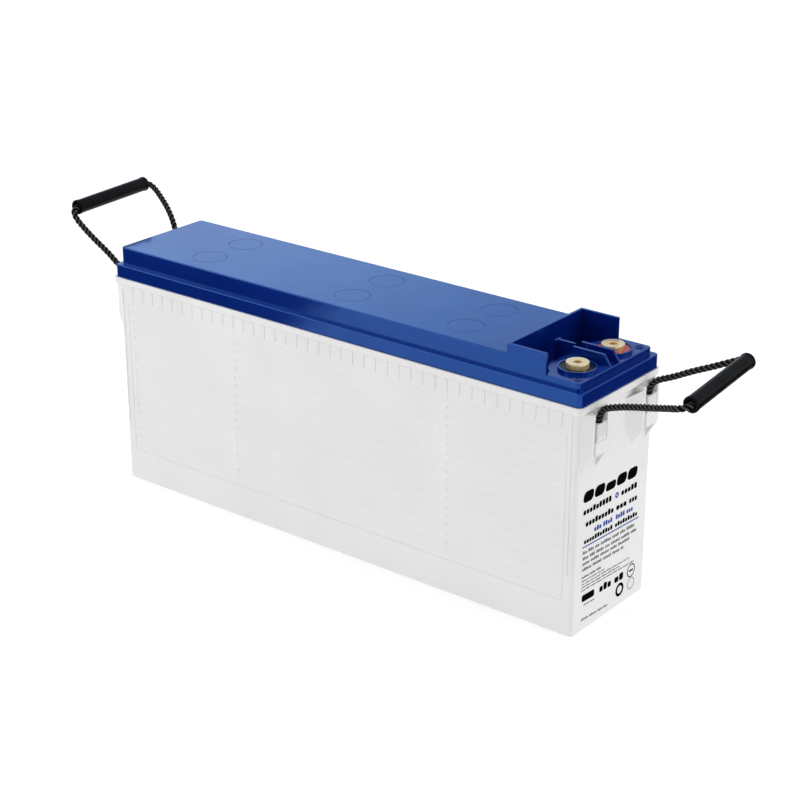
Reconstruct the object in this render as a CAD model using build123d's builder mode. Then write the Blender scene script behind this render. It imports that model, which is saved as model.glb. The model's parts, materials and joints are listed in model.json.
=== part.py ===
"""Front-terminal deep cycle battery, 12 V, six cells, with a rope handle at each end.

Millimetres. +X runs along the length to the terminal end, -Y is the near long side, +Z is up.
The origin is the centre of the case's base.
"""
from build123d import *
import math
import os

os.makedirs("parts", exist_ok=True)

# ---------------------------------------------------------------- driving dimensions
case_length = 507.6
case_width = 109.6
case_top = 201.5
corner_radius = 3.2
base_edge_radius = 1.5
side_wall = 3.4
end_wall = 5.0
floor_thickness = 4.0
partition = 2.4
rim_low = 196.5
rim_top = 203.0
rim_out = 4.0
rim_radius = 5.0

band_length = 513.0
band_width = 114.4
band_top = 214.9
band_radius = 4.2
block_length = 503.6
block_width = 106.0
block_radius = 3.6
ledge_top = 221.2
lid_top = 231.0
lid_skin = 3.0
lid_edge_radius = 0.9
shroud_edge_radius = 0.4

shroud_back = 182.5
shroud_front = 220.0
shroud_wall = 2.5
shroud_top = 239.2
bay_floor = 207.0
ledge_back = 207.5
ledge_corner_y = 29.0

terminal_x = 231.5
terminal_y = 25.8
terminal_radius = 9.5
terminal_top = 227.4
thread_minor_radius = 3.4
thread_depth = 14.0
boss_radius = 16.0
boss_top = 223.8
hub_bottom = 210.0
seal_radius = 14.4
seal_bottom = 219.6
seal_top = 223.1

vent_radius = 15.5
vent_y = 23.6
vent_columns = (-167.0, 0.0, 120.5)
vent_gap = 0.15
cover_thickness = 2.4
well_radius = 12.0
well_wall = 2.0
well_floor = 213.5
nozzle_radius = 4.5
nozzle_bore = 2.2
nozzle_top = 223.5

rope_radius = 2.75
clip_y = 37.2
clip_x = 260.2
clip_low = 160.2
clip_shoulder = 173.4
clip_top = 187.0
clip_front = 264.2
clip_back = 254.2
channel_width = 17.6
cheek = 3.0
cheek_front = 263.0
cheek_low = 160.0
cheek_foot = 144.4
hinge_x = 264.0
hinge_z = 200.5

grip_length = 91.0
grip_radius = 6.5
grip_bore = 4.6
grip_lip_radius = 6.9
grip_lip = 2.4

half_length = case_length / 2
half_width = case_width / 2

# ---------------------------------------------------------------- cells
cell_length = (case_length - 2 * end_wall - 2 * partition) / 3
cell_width = (case_width - 2 * side_wall - partition) / 2
cell_pitch_x = cell_length + partition
cell_pitch_y = cell_width + partition
weld_z = 181.0
weld_radius = 4.4
# the series path runs down the far row from the terminal end and back up the near row:
# column, row and the end of the cell that holds its positive strap
cells = ((1, 1, 1), (0, 1, 1), (-1, 1, 1), (-1, -1, -1), (0, -1, -1), (1, -1, -1))

plate_length = 150.0
plate_low = 9.0
plate_height = 150.0
positive_thickness = 3.2
negative_thickness = 2.2
mat_thickness = 2.0
mat_margin = 3.0
positive_count = 5
lug_width = 13.0
lug_height = 9.0
lug_inset = 20.0
strap_low = plate_low + plate_height + lug_height
strap_height = 9.0
strap_length = 20.0
strap_width = 43.0
lug_x = plate_length / 2 - lug_inset
tab_thickness = 4.0
tab_width = 14.0
tab_top = 187.0
post_radius = 6.0
post_top = 211.0


# ---------------------------------------------------------------- end housings for the rope clips
inner_cheek = clip_y - channel_width / 2 - cheek
outer_cheek = clip_y + channel_width / 2 + cheek
gusset_foot_y = 12.8
gusset_foot_low = 164.2
gusset_foot_top = 188.6
gusset_front_top = 194.7
outer_ramp_y = 53.0
outer_ramp_low = 154.0
root = half_length - 1.5
tongue_depth = 1.2
tongue_thickness = 2.4
tongue_x = 257.8


def plane_through(first, second, third):
    """A plane through three points, its normal by the right-hand rule."""
    first, second, third = Vector(*first), Vector(*second), Vector(*third)
    return Plane(origin=first, x_dir=second - first, z_dir=(second - first).cross(third - first))


# inner cheek with its wide gusset: a wedge in plan, cut back to a point at its foot
with BuildPart() as inner_fin:
    with BuildSketch(Plane.XY.offset(cheek_foot - 4)):
        with BuildLine():
            Polyline(
                (root, gusset_foot_y),
                (half_length, gusset_foot_y),
                (cheek_front, inner_cheek),
                (cheek_front, inner_cheek + cheek),
                (root, inner_cheek + cheek),
                close=True,
            )
        make_face()
    extrude(amount=rim_low - cheek_foot + 4)
    # sloping underside of the cheek
    split(
        bisect_by=plane_through(
            (half_length, 0, cheek_foot), (half_length, 10, cheek_foot), (cheek_front, 0, cheek_low)
        ),
        keep=Keep.BOTTOM,
    )
    # facet from the gusset's foot down to the cheek's foot
    split(
        bisect_by=plane_through(
            (half_length, gusset_foot_y, gusset_foot_low),
            (half_length, inner_cheek, cheek_foot),
            (cheek_front, inner_cheek, cheek_low),
        ),
        keep=Keep.BOTTOM,
    )

# the gusset stops below the rim, the cheek itself runs up to it
with BuildPart() as gusset_relief:
    with BuildSketch(Plane.XZ.offset(-inner_cheek)):
        with BuildLine():
            Polyline(
                (half_length, gusset_foot_top),
                (cheek_front + 1, gusset_front_top),
                (cheek_front + 1, rim_low + 1),
                (half_length, rim_low + 1),
                close=True,
            )
        make_face()
    extrude(amount=inner_cheek - gusset_foot_y + 2)

# outer cheek, with a narrow ramp that dies out at the case's corner
with BuildPart() as outer_fin:
    with BuildSketch(Plane.XY.offset(cheek_foot - 4)):
        with BuildLine():
            Polyline(
                (root, outer_cheek - cheek),
                (cheek_front, outer_cheek - cheek),
                (cheek_front, outer_cheek),
                (half_length, outer_ramp_y),
                (root, outer_ramp_y),
                close=True,
            )
        make_face()
    extrude(amount=rim_low - cheek_foot + 4)
    split(
        bisect_by=plane_through(
            (half_length, 0, cheek_foot), (half_length, 10, cheek_foot), (cheek_front, 0, cheek_low)
        ),
        keep=Keep.BOTTOM,
    )

    # facet from the ramp's foot down to the cheek's foot
    split(
        bisect_by=plane_through(
            (half_length, outer_ramp_y, outer_ramp_low),
            (cheek_front, outer_cheek, cheek_low),
            (half_length, outer_cheek, cheek_foot),
        ),
        keep=Keep.BOTTOM,
    )

# slots in the cheeks for the clip's tongues
with BuildPart() as tongue_slots:
    with BuildSketch(Plane.XY.offset(cheek_low)):
        with Locations((tongue_x, clip_y)):
            Rectangle(tongue_thickness + 0.4, channel_width + 2 * tongue_depth + 0.6)
    extrude(amount=rim_low - cheek_low + 1)

housing = inner_fin.part - gusset_relief.part + outer_fin.part - tongue_slots.part

# ---------------------------------------------------------------- case
rib_pitch = 8.26
rib_rows = 18
rib_first_z = 180.0
louvre_height = 4.6
louvre_depth = 0.5
panels = ((-182.0, 113.0), (0.0, 224.0), (182.0, 113.0))
tick_pitch = 12.5
tick_count = 39
tick_low = 183.0
tick_width = 1.0
tick_proud = 0.4
border_x = 243.5
border_z = 31.3
border_line = 0.8
border_depth = 0.25
corner_groove_x = 249.0
corner_groove_width = 3.2
corner_groove_depth = 0.4

with BuildPart() as case:
    with BuildSketch():
        RectangleRounded(case_length, case_width, corner_radius)
    extrude(amount=case_top)
    fillet(case.edges().group_by(Axis.Z)[0], base_edge_radius)
    # rim with an upstanding lip round the lid
    with BuildSketch(Plane.XY.offset(rim_low)):
        RectangleRounded(case_length + 2 * rim_out, case_width + 2 * rim_out, rim_radius)
    extrude(amount=rim_top - rim_low)
    chamfer(
        case.edges().filter_by(GeomType.LINE).filter_by_position(Axis.Z, rim_low, rim_low)
        .filter_by_position(Axis.Y, -half_width - rim_out, -half_width - rim_out + 0.01)
        + case.edges().filter_by(GeomType.LINE).filter_by_position(Axis.Z, rim_low, rim_low)
        .filter_by_position(Axis.Y, half_width + rim_out - 0.01, half_width + rim_out),
        1.2,
    )
    with BuildSketch(Plane.XY.offset(case_top)):
        RectangleRounded(band_length + 0.2, band_width + 0.2, band_radius + 0.1)
    extrude(amount=rim_top - case_top + 1, mode=Mode.SUBTRACT)
    # four housings, by mirroring the one at the terminal end's far side
    add(housing)
    add(housing.mirror(Plane.XZ))
    add(housing.mirror(Plane.YZ))
    add(housing.mirror(Plane.XZ).mirror(Plane.YZ))
    # six cells
    with BuildSketch(Plane.XY.offset(floor_thickness)):
        with GridLocations(cell_pitch_x, cell_pitch_y, 3, 2):
            RectangleRounded(cell_length, cell_width, 2)
    extrude(amount=case_top, mode=Mode.SUBTRACT)
    # weld holes through the partitions
    for wall_x in (-cell_pitch_x / 2, cell_pitch_x / 2):
        with BuildSketch(Plane.YZ.offset(wall_x - partition)):
            with Locations((-cell_pitch_y / 2, weld_z), (cell_pitch_y / 2, weld_z)):
                Circle(weld_radius)
        extrude(amount=2 * partition, mode=Mode.SUBTRACT)
    with BuildSketch(Plane.XZ.offset(-partition)):
        with Locations((-cell_pitch_x - lug_x, weld_z)):
            Circle(weld_radius)
    extrude(amount=2 * partition, mode=Mode.SUBTRACT)
    # ribbed long sides
    for side in (-1, 1):
        face = Plane(origin=(0, side * half_width, 0), x_dir=(-side, 0, 0), z_dir=(0, side, 0))
        for panel_x, panel_width in panels:
            with BuildSketch(Plane.YZ.offset(panel_x - panel_width / 2)):
                for row in range(rib_rows):
                    edge = rib_first_z - row * rib_pitch
                    with BuildLine():
                        Polyline(
                            (side * (half_width + 0.5), edge),
                            (side * (half_width - louvre_depth), edge),
                            (side * half_width, edge - louvre_height),
                            (side * (half_width + 0.5), edge - louvre_height),
                            close=True,
                        )
                    make_face()
            extrude(amount=panel_width, mode=Mode.SUBTRACT)
        with BuildSketch(face):
            with Locations((0, border_z)):
                Rectangle(2 * border_x + border_line, border_line)
            with Locations((-border_x, 104), (border_x, 104)):
                Rectangle(border_line, 2 * (104 - border_z) + border_line)
        extrude(amount=-border_depth, mode=Mode.SUBTRACT)
        with BuildSketch(face):
            with Locations((-corner_groove_x, 124), (corner_groove_x, 124)):
                Rectangle(corner_groove_width, 136)
        extrude(amount=-corner_groove_depth, mode=Mode.SUBTRACT)
        with BuildSketch(face):
            with GridLocations(tick_pitch, 1, tick_count, 1):
                with Locations((0, (tick_low + rim_low) / 2)):
                    Rectangle(tick_width, rim_low - tick_low + 0.4)
        extrude(amount=tick_proud)
case.part.label = "case"
export_step(case.part, "parts/case.step")

# ---------------------------------------------------------------- lid
shroud_inside = shroud_back + shroud_wall
bay_side = block_width / 2 - shroud_wall
inside_side = block_width / 2 - lid_skin
inside_end = block_length / 2 - lid_skin
inside_step = band_top - lid_skin
cell_edge = partition / 2
column_edge = (cell_length - cell_pitch_x / 2 + partition / 2, cell_pitch_x / 2 + partition / 2)
divider_y = 6.4
divider_thickness = 2.5
divider_top = 230.3
mark_x = 245.0
mark_y = 44.6
mark_radius = 3.9
mark_proud = 0.5
hub_radius = 13.0
flange_radius = 12.0
flange_height = 2.5
ring_groove = 2.4
ring_groove_z = 215.0
flange_clear = terminal_x - flange_radius - 2.5
flange_side = terminal_y + flange_radius + 0.4
vents = [(x, y) for x in vent_columns for y in (-vent_y, vent_y)]
terminals = [(terminal_x, -terminal_y), (terminal_x, terminal_y)]

with BuildPart() as lid:
    with BuildSketch(Plane.XY.offset(case_top)):
        RectangleRounded(band_length, band_width, band_radius)
    extrude(amount=band_top - case_top)
    fillet(lid.edges().group_by(Axis.Z)[-1], lid_edge_radius)
    with BuildSketch(Plane.XY.offset(case_top)):
        RectangleRounded(block_length, block_width, block_radius)
    extrude(amount=lid_top - case_top)
    fillet(lid.edges().group_by(Axis.Z)[-1], lid_edge_radius)
    # shroud behind and beside the terminals
    with BuildSketch(Plane.XY.offset(band_top)):
        with Locations(((shroud_back + shroud_front) / 2, 0)):
            Rectangle(shroud_front - shroud_back, block_width)
    extrude(amount=shroud_top - band_top)
    # terminal ledge
    with BuildSketch(Plane.XY.offset(ledge_top)):
        with Locations(((shroud_front + half_length) / 2, 0)):
            Rectangle(half_length - shroud_front, band_width)
    extrude(amount=shroud_top - ledge_top, mode=Mode.SUBTRACT)
    with BuildSketch(Plane.XY.offset(ledge_top)):
        with Locations(((shroud_inside + shroud_front) / 2, 0)):
            Rectangle(shroud_front - shroud_inside, 2 * bay_side)
    extrude(amount=shroud_top - ledge_top, mode=Mode.SUBTRACT)
    # deep bay behind the ledge
    with BuildSketch(Plane.XY.offset(bay_floor)):
        with BuildLine():
            Polyline(
                (shroud_inside, -bay_side),
                (shroud_front, -bay_side),
                (217.4, -44.0),
                (212.2, -38.4),
                (ledge_back, -ledge_corner_y),
                (ledge_back, ledge_corner_y),
                (212.2, 38.4),
                (217.4, 44.0),
                (shroud_front, bay_side),
                (shroud_inside, bay_side),
                close=True,
            )
        make_face()
    extrude(amount=ledge_top - bay_floor, mode=Mode.SUBTRACT)
    shroud_edges = lid.edges().filter_by_position(Axis.Z, shroud_top, shroud_top)
    fillet(shroud_edges, shroud_edge_radius)
    ledge_edges = lid.edges().filter_by_position(Axis.Z, ledge_top, ledge_top)
    fillet(ledge_edges.filter_by_position(Axis.X, shroud_front + 2, half_length), lid_edge_radius)
    # hollow underneath, one pocket over each cell
    with BuildSketch(Plane.XY.offset(case_top)):
        with GridLocations(cell_pitch_x, cell_pitch_y, 2, 2):
            with Locations((-cell_pitch_x / 2, 0)):
                RectangleRounded(cell_length, cell_width, 2)
    extrude(amount=inside_step - case_top, mode=Mode.SUBTRACT)
    with BuildSketch(Plane.XY.offset(case_top)):
        for side in (-1, 1):
            with Locations((cell_pitch_x, side * cell_pitch_y / 2)):
                RectangleRounded(cell_length, cell_width, 2)
    extrude(amount=bay_floor - lid_skin - case_top, mode=Mode.SUBTRACT)
    pockets = (
        (-inside_end, -cell_pitch_x / 2 - cell_edge, inside_side, lid_top - lid_skin),
        (-cell_pitch_x / 2 + cell_edge, cell_pitch_x / 2 - cell_edge, inside_side, lid_top - lid_skin),
        (cell_pitch_x / 2 + cell_edge, shroud_back - lid_skin, inside_side, lid_top - lid_skin),
        (flange_clear, shroud_front + lid_skin, flange_side, ledge_top - lid_skin),
        (shroud_front + lid_skin, inside_end, inside_side, ledge_top - lid_skin),
    )
    for start, end, far_side, top in pockets:
        with BuildSketch(Plane.XY.offset(bay_floor - lid_skin - 0.5)):
            for side in (-1, 1):
                with Locations(((start + end) / 2, side * (cell_edge + far_side) / 2)):
                    Rectangle(end - start, far_side - cell_edge)
        extrude(amount=top - bay_floor + lid_skin + 0.5, mode=Mode.SUBTRACT)
    # vent wells, each with a nozzle standing on its floor
    with BuildSketch(Plane.XY.offset(well_floor - well_wall)):
        with Locations(*vents):
            Circle(well_radius + well_wall)
    extrude(amount=lid_top - lid_skin - well_floor + well_wall)
    with BuildSketch(Plane.XY.offset(lid_top - lid_skin - well_wall)):
        with Locations(*vents):
            Circle(vent_radius + well_wall)
    extrude(amount=well_wall)
    with BuildSketch(Plane.XY.offset(well_floor)):
        with Locations(*vents):
            Circle(well_radius)
            Circle(nozzle_radius, mode=Mode.SUBTRACT)
    extrude(amount=nozzle_top - well_floor, mode=Mode.SUBTRACT)
    with BuildSketch(Plane.XY.offset(nozzle_top)):
        with Locations(*vents):
            Circle(well_radius)
    extrude(amount=lid_top - nozzle_top, mode=Mode.SUBTRACT)
    with BuildSketch(Plane.XY.offset(well_floor - 2 * well_wall)):
        with Locations(*vents):
            Circle(nozzle_bore)
    extrude(amount=nozzle_top - well_floor + 2 * well_wall, mode=Mode.SUBTRACT)
    with BuildSketch(Plane.XY.offset(lid_top - cover_thickness)):
        with Locations(*vents):
            Circle(vent_radius + vent_gap)
    extrude(amount=cover_thickness, mode=Mode.SUBTRACT)
    # divider ribs between the terminals
    for side in (-1, 1):
        with BuildSketch(Plane.XZ.offset(-side * divider_y)):
            with BuildLine():
                Polyline(
                    (214.5, ledge_top - 1),
                    (214.5, divider_top),
                    (244.0, divider_top),
                    (250.4, ledge_top),
                    (250.4, ledge_top - 1),
                    close=True,
                )
            make_face()
        extrude(amount=divider_thickness / 2, both=True)
    # polarity marks, a ring round a plus or a minus
    with BuildSketch(Plane.XY.offset(ledge_top - 0.5)):
        for side in (-1, 1):
            with Locations((mark_x, side * mark_y)):
                Circle(mark_radius)
                Circle(mark_radius - 0.8, mode=Mode.SUBTRACT)
                Rectangle(0.9, 4.4)
        with Locations((mark_x, mark_y)):
            Rectangle(4.4, 0.9)
    extrude(amount=0.5 + mark_proud)
    # short rib behind them with a small cross piece
    with BuildSketch(Plane.XY.offset(bay_floor - 1)):
        with Locations((204.5, -2.0)):
            Rectangle(18.0, 2.2)
        with Locations((196.5, -2.0)):
            Rectangle(2.0, 8.0)
    extrude(amount=lid_top - bay_floor + 1)
    # terminal bosses, each with a cup for its sealing ring
    with BuildSketch(Plane.XY.offset(ledge_top - 1)):
        with Locations(*terminals):
            Circle(boss_radius)
    extrude(amount=boss_top - ledge_top + 1)
    with BuildSketch(Plane.XY.offset(hub_bottom)):
        with Locations(*terminals):
            Circle(hub_radius)
    extrude(amount=ledge_top - 1 - hub_bottom)
    with BuildSketch(Plane.XY.offset(seal_bottom)):
        with Locations(*terminals):
            Circle(seal_radius)
    extrude(amount=boss_top - seal_bottom, mode=Mode.SUBTRACT)
    with BuildSketch(Plane.XY.offset(hub_bottom)):
        with Locations(*terminals):
            Circle(terminal_radius)
    extrude(amount=seal_bottom - hub_bottom, mode=Mode.SUBTRACT)
    with BuildSketch(Plane.XY.offset(ring_groove_z - ring_groove / 2)):
        with Locations(*terminals):
            Circle(terminal_radius + ring_groove)
    extrude(amount=ring_groove, mode=Mode.SUBTRACT)
lid.part.label = "lid"
export_step(lid.part, "parts/lid.step")

# ---------------------------------------------------------------- vent covers and valves
for number, place in enumerate(vents, 1):
    with BuildPart() as cover:
        with BuildSketch(Plane.XY.offset(lid_top - cover_thickness)):
            with Locations(place):
                Circle(vent_radius)
        extrude(amount=cover_thickness)
        fillet(cover.edges().group_by(Axis.Z)[-1], 0.5)
    cover.part.label = f"vent_cover_{number}"
    export_step(cover.part, f"parts/vent_cover_{number}.step")

    with BuildPart() as valve:
        with BuildSketch(Plane.XY.offset(nozzle_top - 7.0)):
            with Locations(place):
                Circle(nozzle_radius + 2.0)
        extrude(amount=9.0)
        fillet(valve.edges().group_by(Axis.Z)[-1], 1.0)
        with BuildSketch(Plane.XY.offset(nozzle_top - 7.0)):
            with Locations(place):
                Circle(nozzle_radius)
        extrude(amount=7.0, mode=Mode.SUBTRACT)
    valve.part.label = f"vent_valve_{number}"
    export_step(valve.part, f"parts/vent_valve_{number}.step")

# ---------------------------------------------------------------- terminals
for label, place in (("negative", terminals[0]), ("positive", terminals[1])):
    with BuildPart() as bush:
        with BuildSketch(Plane.XY.offset(hub_bottom - flange_height)):
            with Locations(place):
                Circle(flange_radius)
        extrude(amount=flange_height)
        with BuildSketch(Plane.XY.offset(hub_bottom)):
            with Locations(place):
                Circle(terminal_radius)
        extrude(amount=terminal_top - hub_bottom)
        fillet(bush.edges().group_by(Axis.Z)[-1], 0.5)
        # thread's core hole from the top, with a lead-in, and the post's socket from below
        with BuildSketch(Plane.XY.offset(terminal_top - thread_depth)):
            with Locations(place):
                Circle(thread_minor_radius)
        extrude(amount=thread_depth, mode=Mode.SUBTRACT)
        chamfer(bush.edges().group_by(Axis.Z)[-1].sort_by(SortBy.RADIUS)[0], 0.7)
        with BuildSketch(Plane.XY.offset(hub_bottom - flange_height)):
            with Locations(place):
                Circle(post_radius)
        extrude(amount=post_top - hub_bottom + flange_height, mode=Mode.SUBTRACT)
    bush.part.label = f"terminal_{label}"
    export_step(bush.part, f"parts/terminal_{label}.step")

    with BuildPart() as seal:
        with BuildSketch(Plane.XY.offset(seal_bottom)):
            with Locations(place):
                Circle(seal_radius)
                Circle(terminal_radius, mode=Mode.SUBTRACT)
        extrude(amount=seal_top - seal_bottom)
        fillet(seal.edges().group_by(Axis.Z)[-1], 0.6)
    seal.part.label = f"terminal_seal_{label}"
    export_step(seal.part, f"parts/terminal_seal_{label}.step")

with BuildPart() as o_rings:
    for place in terminals:
        with Locations((place[0], place[1], ring_groove_z)):
            Torus(terminal_radius + ring_groove / 2, ring_groove / 2 - 0.05)
o_rings.part.label = "terminal_o_rings"
export_step(o_rings.part, "parts/terminal_o_rings.step")

# ---------------------------------------------------------------- rope clips
clip_shoe = 17.1
clip_neck = 12.9
clip_bore = rope_radius + 0.25
grip_ridges = 6
ridge_pitch = 2.0
ridge_height = 0.5
with BuildPart() as clip:
    with BuildSketch(Plane.YZ.offset(clip_back)):
        with BuildLine():
            Polyline(
                (clip_y - clip_shoe / 2, clip_low),
                (clip_y + clip_shoe / 2, clip_low),
                (clip_y + clip_shoe / 2, clip_shoulder - 1.5),
                (clip_y + clip_neck / 2, clip_shoulder),
                (clip_y + clip_neck / 2, clip_top),
                (clip_y - clip_neck / 2, clip_top),
                (clip_y - clip_neck / 2, clip_shoulder),
                (clip_y - clip_shoe / 2, clip_shoulder - 1.5),
                close=True,
            )
        make_face()
    extrude(amount=clip_front - ridge_height - clip_back)
    # raised shoe face and finger ridges on the neck
    with BuildSketch(Plane.YZ.offset(clip_front - ridge_height)):
        with Locations((clip_y, (clip_low + clip_shoulder) / 2 - 0.6)):
            RectangleRounded(clip_shoe - 1.2, clip_shoulder - clip_low - 2.4, 1.0)
        for ridge in range(grip_ridges):
            with Locations((clip_y, clip_top - 1.2 - ridge * ridge_pitch)):
                Rectangle(clip_neck, 0.9)
    extrude(amount=ridge_height)
    # two small round ejector marks
    with BuildSketch(Plane.YZ.offset(clip_front)):
        with Locations((clip_y - 2.2, clip_shoulder + 0.4), (clip_y + 4.6, clip_shoulder + 1.4)):
            Circle(0.7)
    extrude(amount=-ridge_height - 0.3, mode=Mode.SUBTRACT)
    # tongues that run in the housing's slots
    with BuildSketch(Plane.XY.offset(clip_low)):
        with Locations((tongue_x, clip_y)):
            Rectangle(tongue_thickness, channel_width + 2 * tongue_depth)
    extrude(amount=clip_shoulder - 1.5 - clip_low)
    # bore for the rope, open at the top
    with BuildSketch(Plane.XY.offset(clip_low + 3)):
        with Locations((clip_x, clip_y)):
            Circle(clip_bore)
    extrude(amount=clip_top - clip_low, mode=Mode.SUBTRACT)
clip_places = (
    ("rope_clip_1", clip.part.mirror(Plane.XZ)),
    ("rope_clip_2", clip.part),
    ("rope_clip_3", clip.part.mirror(Plane.XZ).mirror(Plane.YZ)),
    ("rope_clip_4", clip.part.mirror(Plane.YZ)),
)
for label, shape in clip_places:
    with BuildPart() as placed_clip:
        add(shape)
    placed_clip.part.label = label
    export_step(placed_clip.part, f"parts/{label}.step")

# ---------------------------------------------------------------- ropes
bore_floor = clip_low + 3.4
stub_gap = 6.3
stub_turn_z = 189.5


def bend_radii(points):
    """The widest comfortable bend at each inner point of a route."""
    radii = []
    for before, here, after in zip(points, points[1:], points[2:]):
        run_in = Vector(*here) - Vector(*before)
        run_out = Vector(*after) - Vector(*here)
        turn = math.radians(run_in.get_angle(run_out))
        radii.append(0.45 * min(run_in.length, run_out.length) / math.tan(turn / 2))
    return radii


def tube(points, name):
    """A round rope along a route of straight runs joined by tangent arcs."""
    radii = bend_radii(points)
    with BuildPart() as rope:
        with BuildLine():
            path = FilletPolyline(*points, radius=radii)
        with BuildSketch(Plane(origin=path @ 0, z_dir=path % 0)):
            Circle(rope_radius)
        sweep(path=path)
    section = math.pi * rope_radius**2
    print(
        name,
        "length", round(path.length, 1),
        "volume ratio", round(rope.part.volume / (section * path.length), 4),
        "radii", [round(r, 1) for r in radii],
    )
    return rope.part


def grip_axis_point(middle, direction, along, offset):
    """A point inside a grip, a little off its axis so the rope keeps a slight bow."""
    return (
        middle[0] + direction[0] * along,
        middle[1] + direction[1] * along,
        middle[2] + direction[2] * along + offset,
    )


front_middle = (344.0, 0.0, 229.4)
front_slope = Vector(-2.5, 92.0, 7.4).normalized()
front_direction = (front_slope.X, front_slope.Y, front_slope.Z)
rear_middle = (-317.6, 0.0, 255.6)
rear_slope = Vector(-2.8, 92.0, 2.0).normalized()
rear_direction = (rear_slope.X, rear_slope.Y, rear_slope.Z)
bow = ((-36.0, -0.3), (-12.0, 0.4), (12.0, -0.4), (36.0, 0.3))

front_route = [
    (hinge_x, -clip_y, hinge_z),
    (272.6, -37.6, 202.4),
    (283.5, -39.0, 206.3),
    (298.5, -41.6, 210.7),
    (314.0, -45.0, 215.2),
    (328.0, -49.0, 219.9),
    (340.8, -54.6, 224.6),
    (346.4, -49.8, 225.5),
]
for along, offset in bow:
    front_route.append(grip_axis_point(front_middle, front_direction, along, offset))
front_route += [
    (343.8, 50.0, 233.7),
    (337.4, 53.8, 231.4),
    (325.5, 48.6, 226.6),
    (311.5, 44.0, 220.4),
    (296.5, 40.6, 214.2),
    (281.0, 38.2, 206.2),
    (hinge_x, clip_y, hinge_z),
]
rear_route = [
    (-hinge_x, -clip_y, hinge_z),
    (-273.9, -37.6, 206.4),
    (-284.6, -38.8, 215.4),
    (-296.8, -41.6, 224.8),
    (-306.4, -46.4, 236.0),
    (-311.8, -52.6, 248.0),
    (-315.6, -49.6, 254.6),
]
for along, offset in bow:
    rear_route.append(grip_axis_point(rear_middle, rear_direction, along, offset))
rear_route += [
    (-318.6, 48.8, 256.6),
    (-312.6, 51.9, 252.9),
    (-301.6, 48.8, 247.2),
    (-289.6, 45.2, 239.6),
    (-280.0, 42.2, 230.4),
    (-273.6, 39.8, 219.4),
    (-268.4, 38.2, 209.2),
    (-hinge_x, clip_y, hinge_z),
]
near_stub = [
    (clip_x, -clip_y, bore_floor),
    (clip_x + 0.1, -clip_y, bore_floor + 12),
    (clip_x, -clip_y, stub_turn_z),
]
lean = (Vector(hinge_x, 0, hinge_z) - Vector(clip_x, 0, stub_turn_z))
reach = lean.length - stub_gap
near_stub.append(
    (
        clip_x + lean.X / lean.length * reach,
        -clip_y,
        stub_turn_z + lean.Z / lean.length * reach,
    )
)
stub = tube(near_stub, "rope end")

for label, route in (("front_rope", front_route), ("rear_rope", rear_route)):
    with BuildPart() as rope_loop:
        add(tube(route, label))
        with Locations(route[0], route[-1]):
            Sphere(rope_radius)
    rope_loop.part.label = label
    export_step(rope_loop.part, f"parts/{label}.step")

for label, flip in (("front_rope_ends", False), ("rear_rope_ends", True)):
    with BuildPart() as rope_ends:
        for shape in (stub, stub.mirror(Plane.XZ)):
            add(shape.mirror(Plane.YZ) if flip else shape)
    rope_ends.part.label = label
    export_step(rope_ends.part, f"parts/{label}.step")

# ---------------------------------------------------------------- grips
for label, middle, direction in (
    ("front_grip", front_middle, front_direction),
    ("rear_grip", rear_middle, rear_direction),
):
    base = Vector(*middle) - Vector(*direction) * (grip_length / 2)
    along_grip = Plane(origin=base, z_dir=Vector(*direction))
    with BuildPart(along_grip) as grip:
        with BuildSketch(along_grip):
            Circle(grip_radius)
        extrude(amount=grip_length)
        with BuildSketch(along_grip):
            Circle(grip_lip_radius)
        extrude(amount=grip_lip)
        with BuildSketch(along_grip.offset(grip_length - grip_lip)):
            Circle(grip_lip_radius)
        extrude(amount=grip_lip)
        rings = grip.edges().filter_by(GeomType.CIRCLE).sort_by(Axis(base, Vector(*direction)))
        fillet([rings[0], rings[-1]], 0.8)
        with BuildSketch(along_grip):
            Circle(grip_bore)
        extrude(amount=grip_length, mode=Mode.SUBTRACT)
    grip.part.label = label
    export_step(grip.part, f"parts/{label}.step")

# ---------------------------------------------------------------- plate groups
stack = []
level = -(positive_count * positive_thickness + (positive_count + 1) * negative_thickness) / 2
level -= positive_count * mat_thickness
for layer in range(4 * positive_count + 1):
    kind = ("negative", "mat", "positive", "mat")[layer % 4]
    thickness = {"negative": negative_thickness, "mat": mat_thickness, "positive": positive_thickness}[kind]
    stack.append((kind, level, thickness))
    level += thickness

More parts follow.
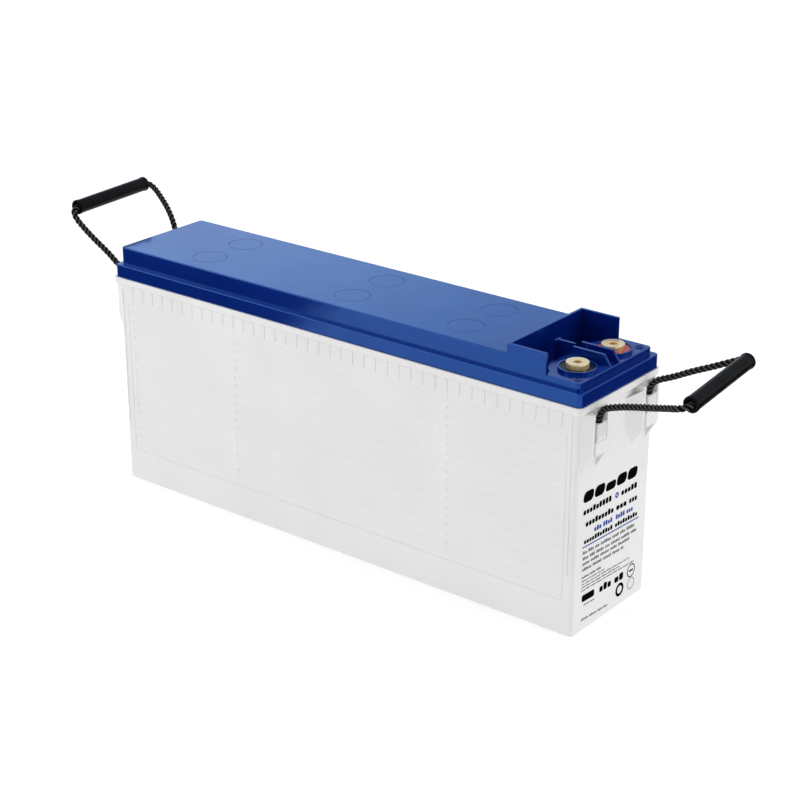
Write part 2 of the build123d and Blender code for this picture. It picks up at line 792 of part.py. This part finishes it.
for number, (column, row, positive_end) in enumerate(cells, 1):
    centre_x = column * cell_pitch_x
    centre_y = row * cell_pitch_y / 2
    for kind, lug_end in (("positive", positive_end), ("negative", -positive_end)):
        lug_centre = centre_x + lug_end * lug_x
        with BuildPart() as plates:
            for layer_kind, start, thickness in stack:
                if layer_kind != kind:
                    continue
                with BuildSketch(Plane.XZ.offset(-(centre_y + start + thickness))):
                    with Locations((centre_x, plate_low + plate_height / 2)):
                        Rectangle(plate_length, plate_height)
                    with Locations((lug_centre, plate_low + plate_height + lug_height / 2)):
                        Rectangle(lug_width, lug_height)
                extrude(amount=thickness)
        plates.part.label = f"{kind}_plates_{number}"
        export_step(plates.part, f"parts/{kind}_plates_{number}.step")

        # cast strap over the lugs, with a weld tab towards its neighbour or a post
        is_post = (number, kind) in ((1, "positive"), (len(cells), "negative"))
        is_turn = (number, kind) in ((3, "negative"), (4, "positive"))
        with BuildPart() as strap:
            with BuildSketch(Plane.XY.offset(strap_low)):
                with Locations((lug_centre, centre_y)):
                    RectangleRounded(strap_length, strap_width, 2)
            extrude(amount=strap_height)
            if is_post:
                with BuildSketch(Plane.XY.offset(strap_low)):
                    with Locations((terminal_x, row * terminal_y)):
                        Circle(post_radius + 3)
                extrude(amount=strap_height)
                with BuildSketch(Plane.XY.offset(strap_low)):
                    with Locations((terminal_x, row * terminal_y)):
                        Circle(post_radius)
                extrude(amount=post_top - strap_low)
            elif is_turn:
                tab_far = centre_y - row * (strap_width / 2 - 3)
                tab_near = row * partition / 2
                with BuildSketch(Plane.XY.offset(strap_low)):
                    with Locations((lug_centre, (tab_far + tab_near) / 2)):
                        Rectangle(tab_width, abs(tab_far - tab_near))
                extrude(amount=tab_top - strap_low)
            else:
                wall_x = centre_x + lug_end * cell_length / 2
                with BuildSketch(Plane.XY.offset(strap_low)):
                    with Locations(((wall_x + lug_centre) / 2, centre_y)):
                        Rectangle(abs(wall_x - lug_centre), tab_width)
                extrude(amount=strap_height)
                with BuildSketch(Plane.XY.offset(strap_low)):
                    with Locations((wall_x - lug_end * tab_thickness / 2, centre_y)):
                        Rectangle(tab_thickness, tab_width)
                extrude(amount=tab_top - strap_low)
        strap.part.label = f"{kind}_strap_{number}"
        export_step(strap.part, f"parts/{kind}_strap_{number}.step")

    with BuildPart() as separators:
        for layer_kind, start, thickness in stack:
            if layer_kind != "mat":
                continue
            with BuildSketch(Plane.XZ.offset(-(centre_y + start + thickness))):
                with Locations((centre_x, floor_thickness + (plate_height + 2 * mat_margin + 4) / 2)):
                    Rectangle(plate_length + 2 * mat_margin, plate_height + 2 * mat_margin + 4)
            extrude(amount=thickness)
    separators.part.label = f"separators_{number}"
    export_step(separators.part, f"parts/separators_{number}.step")

# lead nuggets that join neighbouring cells through the partitions
with BuildPart() as welds:
    for wall_x in (-cell_pitch_x / 2, cell_pitch_x / 2):
        with BuildSketch(Plane.YZ.offset(wall_x - partition / 2)):
            with Locations((-cell_pitch_y / 2, weld_z), (cell_pitch_y / 2, weld_z)):
                Circle(weld_radius)
        extrude(amount=partition)
    with BuildSketch(Plane.XZ.offset(-partition / 2)):
        with Locations((-cell_pitch_x - lug_x, weld_z)):
            Circle(weld_radius)
    extrude(amount=partition)
welds.part.label = "intercell_welds"
export_step(welds.part, "parts/intercell_welds.step")
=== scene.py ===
import json
import math
import random

import bmesh
import bpy
import numpy as np
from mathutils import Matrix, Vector


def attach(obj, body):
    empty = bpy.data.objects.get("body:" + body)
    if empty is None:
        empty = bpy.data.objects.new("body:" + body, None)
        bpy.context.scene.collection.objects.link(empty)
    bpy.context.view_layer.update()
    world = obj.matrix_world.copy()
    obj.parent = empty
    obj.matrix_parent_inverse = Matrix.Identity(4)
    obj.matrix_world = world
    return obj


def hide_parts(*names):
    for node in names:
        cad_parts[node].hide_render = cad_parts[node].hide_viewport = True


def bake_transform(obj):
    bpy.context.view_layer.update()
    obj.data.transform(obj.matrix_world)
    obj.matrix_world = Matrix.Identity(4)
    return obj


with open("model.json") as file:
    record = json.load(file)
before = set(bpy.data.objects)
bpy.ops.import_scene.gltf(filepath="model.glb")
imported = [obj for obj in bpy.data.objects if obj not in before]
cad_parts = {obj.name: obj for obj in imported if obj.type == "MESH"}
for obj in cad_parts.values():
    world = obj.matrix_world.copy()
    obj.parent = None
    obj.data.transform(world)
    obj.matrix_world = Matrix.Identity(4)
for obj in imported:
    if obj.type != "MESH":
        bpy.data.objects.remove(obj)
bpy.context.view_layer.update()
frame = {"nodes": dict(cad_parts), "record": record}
nodes = frame["nodes"]
MM = 0.001

# ---------------------------------------------------------------- camera
camera_place = (1.0028, -1.2250, 0.7830)
yaw, pitch = math.radians(38.365), math.radians(-22.531)
camera_data = bpy.data.cameras.new("camera")
camera_data.lens = 87.27
camera_data.sensor_width = 36.0
camera_data.clip_start = 0.05
camera_data.clip_end = 60.0
camera = bpy.data.objects.new("camera", camera_data)
bpy.context.scene.collection.objects.link(camera)
camera.location = camera_place
look = Vector((-math.sin(yaw) * math.cos(pitch), math.cos(yaw) * math.cos(pitch), math.sin(pitch)))
camera.rotation_mode = "QUATERNION"
camera.rotation_quaternion = look.to_track_quat("-Z", "Y")
bpy.context.scene.camera = camera


# ---------------------------------------------------------------- node helpers
def material(name, color, roughness, metallic=0.0, specular=0.5):
    m = bpy.data.materials.new(name)
    m.use_nodes = True
    tree = m.node_tree
    shader = tree.nodes["Principled BSDF"]
    shader.inputs["Base Color"].default_value = (*color, 1.0)
    shader.inputs["Roughness"].default_value = roughness
    shader.inputs["Metallic"].default_value = metallic
    shader.inputs["Specular IOR Level"].default_value = specular
    return m, tree, shader


def noise(tree, scale, detail=3.0, roughness=0.5, stretch=None, distortion=0.0):
    """Object-space noise, its scale in features per metre."""
    coords = tree.nodes.new("ShaderNodeTexCoord")
    out = coords.outputs["Object"]
    if stretch is not None:
        mapping = tree.nodes.new("ShaderNodeMapping")
        mapping.inputs["Scale"].default_value = stretch
        tree.links.new(out, mapping.inputs["Vector"])
        out = mapping.outputs["Vector"]
    n = tree.nodes.new("ShaderNodeTexNoise")
    n.inputs["Scale"].default_value = scale
    n.inputs["Detail"].default_value = detail
    n.inputs["Roughness"].default_value = roughness
    n.inputs["Distortion"].default_value = distortion
    tree.links.new(out, n.inputs["Vector"])
    return n.outputs["Fac"]


def ramp(tree, value, stops):
    r = tree.nodes.new("ShaderNodeValToRGB")
    while len(r.color_ramp.elements) < len(stops):
        r.color_ramp.elements.new(0.5)
    for element, (position, color) in zip(r.color_ramp.elements, stops):
        element.position = position
        element.color = (*color, 1.0) if len(color) == 3 else color
    tree.links.new(value, r.inputs["Fac"])
    return r.outputs["Color"]


def span(tree, value, low, high):
    """Maps 0.3..0.7 of a noise to low..high."""
    r = tree.nodes.new("ShaderNodeMapRange")
    r.inputs["From Min"].default_value = 0.3
    r.inputs["From Max"].default_value = 0.7
    r.inputs["To Min"].default_value = low
    r.inputs["To Max"].default_value = high
    tree.links.new(value, r.inputs["Value"])
    return r.outputs["Result"]


def bump(tree, shader, height, strength, distance, under=None):
    b = tree.nodes.new("ShaderNodeBump")
    b.inputs["Strength"].default_value = strength
    b.inputs["Distance"].default_value = distance
    tree.links.new(height, b.inputs["Height"])
    if under is not None:
        tree.links.new(under, b.inputs["Normal"])
    tree.links.new(b.outputs["Normal"], shader.inputs["Normal"])
    return b.outputs["Normal"]


def moulded(name, low, high, roughness, specular, mottle, grain, grain_strength, spread=0.06):
    """Moulded plastic: colour drift between low and high, patchy sheen and a fine surface grain."""
    m, tree, shader = material(name, high, roughness, specular=specular)
    drift = noise(tree, mottle, 4.0)
    tree.links.new(ramp(tree, drift, [(0.35, low), (0.65, high)]), shader.inputs["Base Color"])
    tree.links.new(span(tree, noise(tree, mottle * 2.3, 4.0), roughness - spread, roughness + spread),
                   shader.inputs["Roughness"])
    bump(tree, shader, noise(tree, grain, 2.0), grain_strength, 0.0002)
    return m


def add_object(name, mesh, body="battery", mat=None, smooth=True):
    o = bpy.data.objects.new(name, mesh)
    bpy.context.scene.collection.objects.link(o)
    if mat is not None:
        mesh.materials.append(mat)
    if smooth:
        mesh.shade_smooth()
    if body is not None:
        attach(o, body)
    return o


# ---------------------------------------------------------------- ropes
strand_lay = 13.2 * MM
strand_offset = 1.50 * MM
strand_radius = 1.36 * MM
strand_sides = 12
yarns = 6
yarn_relief = 0.05
yarn_twist = 0.9
line_step = 0.5 * MM


def spline_line(name, points):
    """The smooth centreline through a rope's route, as an array of points in metres."""
    data = bpy.data.curves.new(name, "CURVE")
    data.dimensions = "3D"
    data.resolution_u = 24
    spline = data.splines.new("NURBS")
    spline.points.add(len(points) - 1)
    for p, co in zip(spline.points, points):
        p.co = (co[0] * MM, co[1] * MM, co[2] * MM, 1.0)
    spline.order_u = 3
    spline.use_endpoint_u = True
    o = bpy.data.objects.new(name, data)
    mesh = bpy.data.meshes.new_from_object(o)
    line = np.array([v.co for v in mesh.vertices])
    bpy.data.objects.remove(o)
    bpy.data.meshes.remove(mesh)
    return line


def even(line, step):
    """The same line with evenly spaced points."""
    run = np.r_[0, np.cumsum(np.linalg.norm(np.diff(line, axis=0), axis=1))]
    keep = np.r_[True, np.diff(run) > 1e-9]
    line, run = line[keep], run[keep]
    count = int(run[-1] / step) + 1
    at = np.linspace(0, run[-1], count)
    return np.stack([np.interp(at, run, line[:, k]) for k in range(3)], 1), at


def twisted_rope(name, points, mat):
    """Three round strands laid round a route, each strand with its own yarn lines."""
    line, at = even(spline_line(name + "_line", points), line_step)
    tangent = np.gradient(line, axis=0)
    tangent /= np.linalg.norm(tangent, axis=1)[:, None]
    normal = np.zeros_like(line)
    first = np.cross(tangent[0], (0.0, 1.0, 0.0))
    normal[0] = first / np.linalg.norm(first)
    for i in range(1, len(line)):
        n = normal[i - 1] - tangent[i] * np.dot(normal[i - 1], tangent[i])
        normal[i] = n / np.linalg.norm(n)
    side = np.cross(tangent, normal)
    vertices, faces, turn_values, along_values = [], [], [], []
    for strand in range(3):
        phase = 2 * math.pi * (strand / 3 + at / strand_lay)
        centre = line + strand_offset * (np.cos(phase)[:, None] * normal + np.sin(phase)[:, None] * side)
        t = np.gradient(centre, axis=0)
        t /= np.linalg.norm(t, axis=1)[:, None]
        outward = centre - line
        outward -= t * (outward * t).sum(1)[:, None]
        outward /= np.linalg.norm(outward, axis=1)[:, None]
        across = np.cross(t, outward)
        base = len(vertices)
        for i in range(len(line)):
            for j in range(strand_sides):
                a = 2 * math.pi * j / strand_sides
                radius = strand_radius * (1.0 + yarn_relief * math.cos(yarns * a + at[i] / MM * yarn_twist))
                vertices.append(centre[i] + radius * (math.cos(a) * outward[i] + math.sin(a) * across[i]))
                turn_values.append(a)
                along_values.append(at[i])
        for i in range(len(line) - 1):
            for j in range(strand_sides):
                k = (j + 1) % strand_sides
                faces.append((base + i * strand_sides + j, base + i * strand_sides + k,
                              base + (i + 1) * strand_sides + k, base + (i + 1) * strand_sides + j))
        faces.append(tuple(base + j for j in reversed(range(strand_sides))))
        faces.append(tuple(base + (len(line) - 1) * strand_sides + j for j in range(strand_sides)))
    mesh = bpy.data.meshes.new(name)
    mesh.from_pydata([tuple(v) for v in vertices], [], faces)
    mesh.update()
    # the turn round each strand, which drives the painted glint on the crests and the painted shade in the
    # valleys, and the run along the rope
    attribute = mesh.attributes.new("yarn", "FLOAT_VECTOR", "POINT")
    packed = np.stack([np.cos(turn_values), np.sin(turn_values), along_values], 1).astype(np.float32)
    attribute.data.foreach_set("vector", packed.ravel())
    o = add_object(name, mesh, None, mat)
    return o, line, at[-1]


rope_mat, tree, shader = material("rope_black", (0.008, 0.008, 0.008), 0.5, specular=0.08)
yarn = tree.nodes.new("ShaderNodeAttribute")
yarn.attribute_name = "yarn"
yarn_map = tree.nodes.new("ShaderNodeMapping")
yarn_map.inputs["Scale"].default_value = (5.0, 5.0, 420.0)
tree.links.new(yarn.outputs["Vector"], yarn_map.inputs["Vector"])
fibres = tree.nodes.new("ShaderNodeTexNoise")
fibres.inputs["Scale"].default_value = 1.6
fibres.inputs["Detail"].default_value = 4.0
tree.links.new(yarn_map.outputs["Vector"], fibres.inputs["Vector"])
rope_split = tree.nodes.new("ShaderNodeSeparateXYZ")
tree.links.new(yarn.outputs["Vector"], rope_split.inputs["Vector"])
# painted glint: the outward-facing crest of each strand is lighter; painted shade: its flanks and the valleys
# between strands are near black
painted_crest_glint = ramp(tree, rope_split.outputs["X"], [(0.60, (0.0015, 0.0015, 0.0015)), (0.98, (0.115, 0.108, 0.096))])
fleck = ramp(tree, fibres.outputs["Fac"], [(0.38, (0.25, 0.25, 0.25)), (0.62, (1.0, 1.0, 1.0))])
# the colour sockets of a Mix node share their names with its other kinds, so they go by number
mix_a, mix_b, mix_result = 6, 7, 2
rope_mix = tree.nodes.new("ShaderNodeMix")
rope_mix.data_type = "RGBA"
rope_mix.blend_type = "MULTIPLY"
rope_mix.inputs["Factor"].default_value = 1.0
tree.links.new(painted_crest_glint, rope_mix.inputs[mix_a])
tree.links.new(fleck, rope_mix.inputs[mix_b])
tree.links.new(rope_mix.outputs[mix_result], shader.inputs["Base Color"])
tree.links.new(span(tree, fibres.outputs["Fac"], 0.32, 0.6), shader.inputs["Roughness"])
bump(tree, shader, fibres.outputs["Fac"], 0.5, 0.0003)

clip_y, clip_x, bore_floor, bend_z = 37.2, 260.2, 163.6, 189.5
front_middle, front_axis = np.array((344.0, 0.0, 229.4)), np.array((-2.5, 92.0, 7.4))
front_axis = front_axis / np.linalg.norm(front_axis)
rear_middle, rear_axis = np.array((-317.6, 0.0, 255.6)), np.array((-2.8, 92.0, 2.0))
rear_axis = rear_axis / np.linalg.norm(rear_axis)
bow = ((-36.0, -0.3), (-12.0, 0.4), (12.0, -0.4), (36.0, 0.3))


def in_grip(middle, axis):
    """The rope's slightly bowed run inside a grip."""
    return [tuple(middle + axis * along + np.array((0, 0, offset))) for along, offset in bow]


def clip_points(end, side):
    """The rope's fixed end, from inside its clip to the bend above it."""
    return [(end * clip_x, side * clip_y, bore_floor), (end * (clip_x + 0.1), side * clip_y, bore_floor + 12),
            (end * clip_x, side * clip_y, bend_z)]


front_points = clip_points(1, -1) + [
    (264.0, -clip_y, 199.2), (272.6, -37.6, 202.4), (283.5, -39.0, 206.3), (298.5, -41.6, 210.7),
    (314.0, -45.0, 215.2), (328.0, -49.0, 219.9), (340.8, -54.6, 224.6), (346.4, -49.8, 225.5),
] + in_grip(front_middle, front_axis) + [
    (343.8, 50.0, 233.7), (337.4, 53.8, 231.4), (325.5, 48.6, 226.6), (311.5, 44.0, 220.4),
    (296.5, 40.6, 214.2), (281.0, 38.2, 206.2), (264.0, clip_y, 199.2),
] + clip_points(1, 1)[::-1]
rear_points = clip_points(-1, -1) + [
    (-264.0, -clip_y, 199.8), (-273.9, -37.6, 206.4), (-284.6, -38.8, 215.4), (-296.8, -41.6, 224.8),
    (-306.4, -46.4, 236.0), (-311.8, -52.6, 248.0), (-315.6, -49.6, 254.6),
] + in_grip(rear_middle, rear_axis) + [
    (-318.6, 48.8, 256.6), (-312.6, 51.9, 252.9), (-301.6, 48.8, 247.2), (-289.6, 45.2, 239.6),
    (-280.0, 42.2, 230.4), (-273.6, 39.8, 219.4), (-268.4, 38.2, 209.2), (-264.0, clip_y, 200.0),
] + clip_points(-1, 1)[::-1]

for end, points, rest in (("front", front_points, 1), ("rear", rear_points, -1)):
    rope, line, length = twisted_rope(end + "_twisted_rope", points, rope_mat)
    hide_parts(end + "_rope", end + "_rope_ends")
    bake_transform(rope)

# ---------------------------------------------------------------- materials of the CAD nodes
case_mat = moulded("case_plastic", (0.745, 0.745, 0.738), (0.775, 0.775, 0.768),
                   roughness=0.50, specular=0.22, mottle=14.0, grain=2600.0, grain_strength=0.10)
clip_mat = moulded("clip_plastic", (0.775, 0.775, 0.765), (0.80, 0.80, 0.79),
                   roughness=0.45, specular=0.25, mottle=40.0, grain=2600.0, grain_strength=0.08)
grip_mat = moulded("grip_plastic", (0.003, 0.003, 0.003), (0.006, 0.006, 0.006),
                   roughness=0.34, specular=0.07, mottle=60.0, grain=1500.0, grain_strength=0.12)
valve_mat = moulded("valve_rubber", (0.016, 0.016, 0.016), (0.024, 0.024, 0.024),
                   roughness=0.7, specular=0.3, mottle=80.0, grain=2000.0, grain_strength=0.2)
seal_black = moulded("seal_black", (0.003, 0.003, 0.003), (0.006, 0.006, 0.006),
                   roughness=0.16, specular=0.10, mottle=120.0, grain=900.0, grain_strength=0.15)
seal_red = moulded("seal_red", (0.42, 0.006, 0.008), (0.50, 0.010, 0.012),
                   roughness=0.25, specular=0.5, mottle=120.0, grain=900.0, grain_strength=0.20)
positive_mat = moulded("plate_positive", (0.10, 0.05, 0.03), (0.16, 0.09, 0.06),
                   roughness=0.85, specular=0.2, mottle=60.0, grain=1200.0, grain_strength=0.6)
negative_mat = moulded("plate_negative", (0.24, 0.25, 0.27), (0.32, 0.33, 0.35),
                   roughness=0.8, specular=0.3, mottle=60.0, grain=1200.0, grain_strength=0.6)
lead_mat = moulded("lead_cast", (0.26, 0.27, 0.29), (0.38, 0.39, 0.41),
                   roughness=0.5, specular=0.5, mottle=90.0, grain=700.0, grain_strength=0.5)
lead_mat.node_tree.nodes["Principled BSDF"].inputs["Metallic"].default_value = 0.9
mat_mat = moulded("glass_mat", (0.80, 0.80, 0.78), (0.88, 0.88, 0.86),
                   roughness=0.9, specular=0.1, mottle=70.0, grain=1800.0, grain_strength=0.7)

# lid: blue moulded plastic, faintly wavy, with blue-tinted reflections
lid_mat, tree, shader = material("lid_plastic", (0.001, 0.013, 0.155), 0.15, specular=1.0)
shader.inputs["IOR"].default_value = 1.75
shader.inputs["Specular Tint"].default_value = (0.10, 0.35, 1.0, 1.0)
blues = [(0.3, (0.0009, 0.012, 0.142)), (0.7, (0.0014, 0.015, 0.170))]
tree.links.new(ramp(tree, noise(tree, 9.0, 5.0), blues), shader.inputs["Base Color"])
tree.links.new(span(tree, noise(tree, 26.0, 6.0, 0.6), 0.09, 0.17), shader.inputs["Roughness"])
wave = bump(tree, shader, noise(tree, 16.0, 3.0, 0.5), 0.07, 0.004)
bump(tree, shader, noise(tree, 1400.0, 2.0), 0.05, 0.0002, under=wave)

# brass: lathe-turned, its colour drifting at random
brass_mat, tree, shader = material("terminal_brass", (0.92, 0.70, 0.36), 0.2, metallic=0.6)
golds = [(0.3, (0.92, 0.68, 0.33)), (0.7, (0.98, 0.77, 0.43))]
tree.links.new(ramp(tree, noise(tree, 300.0, 4.0), golds), shader.inputs["Base Color"])
tree.links.new(span(tree, noise(tree, 420.0, 4.0, stretch=(1, 1, 6)), 0.12, 0.24), shader.inputs["Roughness"])
bump(tree, shader, noise(tree, 900.0, 3.0, stretch=(0.4, 0.4, 5.0)), 0.12, 0.0002)

slot_materials = {
    "case_plastic": case_mat, "lid_plastic": lid_mat, "clip_plastic": clip_mat, "grip_plastic": grip_mat,
    "rope_fibre": rope_mat, "terminal_brass": brass_mat, "seal_black": seal_black, "seal_red": seal_red,
    "valve_rubber": valve_mat, "plate_positive": positive_mat, "plate_negative": negative_mat,
    "lead_cast": lead_mat, "glass_mat": mat_mat,
}
for entry in frame["record"]["subparts"]:
    o = nodes[entry["node"]]
    o.data.materials.clear()
    o.data.materials.append(slot_materials[entry["material_slot"]])

# ---------------------------------------------------------------- generic print on the terminal end
print_black, tree, shader = material("print_black", (0.003, 0.003, 0.003), 0.6, specular=0.0)
tree.links.new(span(tree, noise(tree, 500.0, 3.0), 0.35, 0.6), shader.inputs["Roughness"])
print_blue, tree, shader = material("print_blue", (0.016, 0.050, 0.34), 0.5, specular=0.12)
tree.links.new(span(tree, noise(tree, 500.0, 3.0), 0.35, 0.6), shader.inputs["Roughness"])
print_grey, tree, shader = material("print_grey", (0.15, 0.15, 0.155), 0.5, specular=0.12)
tree.links.new(span(tree, noise(tree, 500.0, 3.0), 0.4, 0.65), shader.inputs["Roughness"])

wall_x = 253.8 + 0.06
ink = 0.05
# the print lines drop slightly to the right, about their left end
slope = -0.053
slope_start = -45
# a placeholder letter's gap, its usual height and how many are tall, relative to the line's height
letter_gap = 0.18
letter_height = 0.76
tall_share = 0.35
rng = random.Random(4)


def prism(bm, outline):
    """A thin raised patch of ink with the given outline, (y, z) in millimetres."""
    low = [bm.verts.new((wall_x * MM, y * MM, z * MM)) for y, z in outline]
    high = [bm.verts.new(((wall_x + ink) * MM, y * MM, z * MM)) for y, z in outline]
    bm.faces.new(high)
    bm.faces.new(low[::-1])
    for i in range(len(outline)):
        j = (i + 1) % len(outline)
        bm.faces.new((low[i], low[j], high[j], high[i]))


def block(bm, left, right, middle, height, lean=0.0, corner=0.28):
    """A rounded bar of ink along a print line."""
    r = min(height, right - left) * corner
    outline = []
    for cy, cz, start in ((right - r, height / 2 - r, 0), (left + r, height / 2 - r, 90),
                          (left + r, r - height / 2, 180), (right - r, r - height / 2, 270)):
        for step in range(5 if corner > 0 else 1):
            a = math.radians(start + step * 22.5)
            y, z = cy + r * math.cos(a), cz + r * math.sin(a)
            outline.append((y + lean * z, middle + z + slope * (y - slope_start)))
    prism(bm, outline)


def marks(bm, left, right, middle, height, lean=0.0, corner=0.28, width=0.72):
    """One placeholder word: a row of letter-sized bars, some of them taller."""
    count = max(1, round((right - left) / (height * (width + letter_gap))))
    pitch = (right - left) / count
    for i in range(count):
        tall = height if rng.random() < tall_share else height * letter_height
        y = left + i * pitch
        block(bm, y, y + pitch - height * letter_gap, middle - (height - tall) / 2, tall, lean, corner)


def words(bm, left, right, middle, height, longest, shortest, gap, lean=0.0, corner=0.28, width=0.72):
    """Placeholder words of varied length that fill a line."""
    y = left
    while y < right - shortest * 0.6:
        end = min(y + rng.uniform(shortest, longest), right)
        if right - end < shortest * 0.7:
            end = right
        marks(bm, y, end, middle, height, lean, corner, width)
        y = end + gap


def print_piece(name, mat, draw):
    bm = bmesh.new()
    draw(bm)
    bmesh.ops.recalc_face_normals(bm, faces=bm.faces)
    mesh = bpy.data.meshes.new(name)
    bm.to_mesh(mesh)
    bm.free()
    return add_object(name, mesh, "battery", mat, smooth=False)


def ring(bm, y, z, outer, inner, steps=40):
    """A flat ring of ink."""
    zs = z + slope * (y - slope_start)
    for i in range(steps):
        a, b = 2 * math.pi * i / steps, 2 * math.pi * (i + 1) / steps
        spots = ((inner, a), (outer, a), (outer, b), (inner, b))
        prism(bm, [(y + r * math.cos(turn), zs + r * math.sin(turn)) for r, turn in spots])


def black_print(bm):
    marks(bm, -44.0, 38.0, 121.5, 9.6, 0.2, 0.4, 1.45)
    words(bm, -43.5, -1.5, 108.6, 5.2, 40, 36, 2.6)
    words(bm, 12.8, 37.5, 108.6, 5.2, 40, 24, 2.6)
    words(bm, -39.5, 38.5, 97.2, 5.2, 60, 12, 3.4)
    words(bm, -41.0, 40.0, 81.6, 4.2, 44, 36, 3.4)
    block(bm, -41.0, -22.5, 29.8, 6.2)
    marks(bm, -14.6, 4.0, 29.8, 6.6)
    marks(bm, 8.4, 23.0, 29.8, 6.6)
    ring(bm, 34.0, 29.8, 6.2, 5.2)
    block(bm, 30.6, 37.4, 29.8, 1.6)
    ring(bm, 17.0, 17.8, 6.2, 3.6)


def grey_print(bm):
    words(bm, -42.3, 36.0, 72.0, 2.9, 16, 6, 1.8, corner=0)
    words(bm, -42.0, 39.5, 66.6, 2.6, 14, 6, 1.8, corner=0)
    words(bm, -42.0, 29.0, 61.8, 2.6, 14, 6, 1.8, corner=0)
    words(bm, -42.0, 20.5, 56.6, 2.6, 14, 6, 1.8, corner=0)
    words(bm, -42.3, -13.5, 49.6, 2.0, 14, 8, 1.2, corner=0)
    for right, middle in ((-8.5, 46.0), (30.0, 43.2), (15.5, 40.4), (40.0, 37.6)):
        words(bm, -42.0, right, middle, 1.2, 9, 3, 1.0, corner=0)
    words(bm, -38.0, -21.5, 23.4, 1.2, 9, 5, 0.8, corner=0)
    words(bm, -41.0, -1.5, 10.4, 2.0, 12, 6, 1.4, corner=0)
    ring(bm, 34.5, 17.6, 5.4, 4.7)


def blue_print(bm):
    words(bm, -26.5, 1.0, 88.6, 4.4, 16, 9, 2.2)
    words(bm, 5.8, 32.5, 88.6, 4.4, 16, 9, 2.2)
    block(bm, -43.0, 42.0, 77.0, 1.1)
    ring(bm, 6.0, 108.6, 2.6, 1.0, 24)


print_piece("print_black", print_black, black_print)
print_piece("print_grey", print_grey, grey_print)
print_piece("print_blue", print_blue, blue_print)

# ---------------------------------------------------------------- floor and light
floor_mat, tree, shader = material("floor", (0.93, 0.93, 0.93), 0.7, specular=0.1)
shader.inputs["Emission Color"].default_value = (1, 1, 1, 1)
shader.inputs["Emission Strength"].default_value = 0.24
bm = bmesh.new()
bmesh.ops.create_grid(bm, x_segments=2, y_segments=2, size=8.0)
floor_mesh = bpy.data.meshes.new("floor")
bm.to_mesh(floor_mesh)
bm.free()
floor = add_object("floor", floor_mesh, None, floor_mat, smooth=False)
floor.location.z = -0.0002


def reflector(name, corners, mat):
    """A studio card that only reflections see."""
    hidden = ("visible_camera", "visible_diffuse", "visible_shadow", "visible_transmission",
              "visible_volume_scatter")
    mesh = bpy.data.meshes.new(name)
    mesh.from_pydata(corners, [], [(0, 1, 2, 3)])
    mesh.update()
    card = add_object(name, mesh, None, mat, smooth=False)
    for attribute in hidden:
        setattr(card, attribute, False)
    return card


def glow(name, color, strength, clouds=None):
    """A card's light: one colour, or a run of colours along X with cloudy patches."""
    m = bpy.data.materials.new(name)
    m.use_nodes = True
    tree = m.node_tree
    tree.nodes.clear()
    emission = tree.nodes.new("ShaderNodeEmission")
    emission.inputs["Color"].default_value = (*color, 1.0)
    emission.inputs["Strength"].default_value = strength
    if clouds is not None:
        coords = tree.nodes.new("ShaderNodeTexCoord")
        split = tree.nodes.new("ShaderNodeSeparateXYZ")
        tree.links.new(coords.outputs["Object"], split.inputs["Vector"])
        along = tree.nodes.new("ShaderNodeMapRange")
        along.inputs["From Min"].default_value = -6.0
        along.inputs["From Max"].default_value = -2.8
        tree.links.new(split.outputs["X"], along.inputs["Value"])
        tree.links.new(ramp(tree, along.outputs["Result"], clouds), emission.inputs["Color"])
        drift = noise(tree, 0.9, 3.0, 0.45, stretch=(1.0, 1.7, 1.0), distortion=0.8)
        tree.links.new(span(tree, drift, strength * 0.66, strength * 1.24), emission.inputs["Strength"])
    out = tree.nodes.new("ShaderNodeOutputMaterial")
    tree.links.new(emission.outputs["Emission"], out.inputs["Surface"])
    return m


reflector("card_above", [(-8, -4, 2.6), (5, -4, 2.6), (5, 8, 2.6), (-8, 8, 2.6)],
          glow("card_above", (1, 1, 1), 1.0, [(0.10, (1.05, 1.38, 1.70)), (0.50, (0.84, 1.22, 1.58)),
                                              (0.80, (0.46, 0.86, 1.24)), (0.93, (0.56, 0.60, 0.74))]))
reflector("card_side",
          [(-2.6, -1.3, 0.004), (-0.62, -1.3, 0.004), (-0.30, -0.12, 0.004), (-2.6, -0.12, 0.004)],
          glow("card_side", (0.03, 0.04, 0.07), 1.0))
reflector("card_end", [(0.36, -0.05, 0.004), (2.2, -0.05, 0.004), (2.2, 2.4, 0.004), (0.36, 2.4, 0.004)],
          glow("card_end", (0.02, 0.025, 0.035), 1.0))

# a dark flag beyond the camera, which shades the facets that face it
flag = reflector("flag", [(1.0, -2.9, 0.6), (2.4, -1.8, 0.6), (2.4, -1.8, 2.6), (1.0, -2.9, 2.6)],
                 glow("flag", (0.0, 0.0, 0.0), 0.0))
flag.visible_glossy = False
flag.visible_diffuse = True

world = bpy.data.worlds.new("studio")
world.use_nodes = True
world.node_tree.nodes["Background"].inputs["Color"].default_value = (1.0, 1.0, 1.0, 1.0)
world.node_tree.nodes["Background"].inputs["Strength"].default_value = 0.80
bpy.context.scene.world = world


def area(name, place, target, size, watts, color=(1, 1, 1)):
    light = bpy.data.lights.new(name, "AREA")
    light.size = size
    light.energy = watts
    light.color = color
    o = bpy.data.objects.new(name, light)
    bpy.context.scene.collection.objects.link(o)
    o.location = place
    o.rotation_mode = "QUATERNION"
    o.rotation_quaternion = (Vector(target) - Vector(place)).to_track_quat("-Z", "Y")
    return o


area("left", (-1.7, -1.9, 1.1), (0, 0, 0.1), 1.8, 17.0)
area("right", (2.3, 0.9, 1.0), (0, 0, 0.1), 1.8, 13.0)
area("rim", (0.9, 1.6, 2.2), (0, 0, 0.1), 1.2, 4.0)
bpy.context.scene.view_settings.view_transform = "Standard"
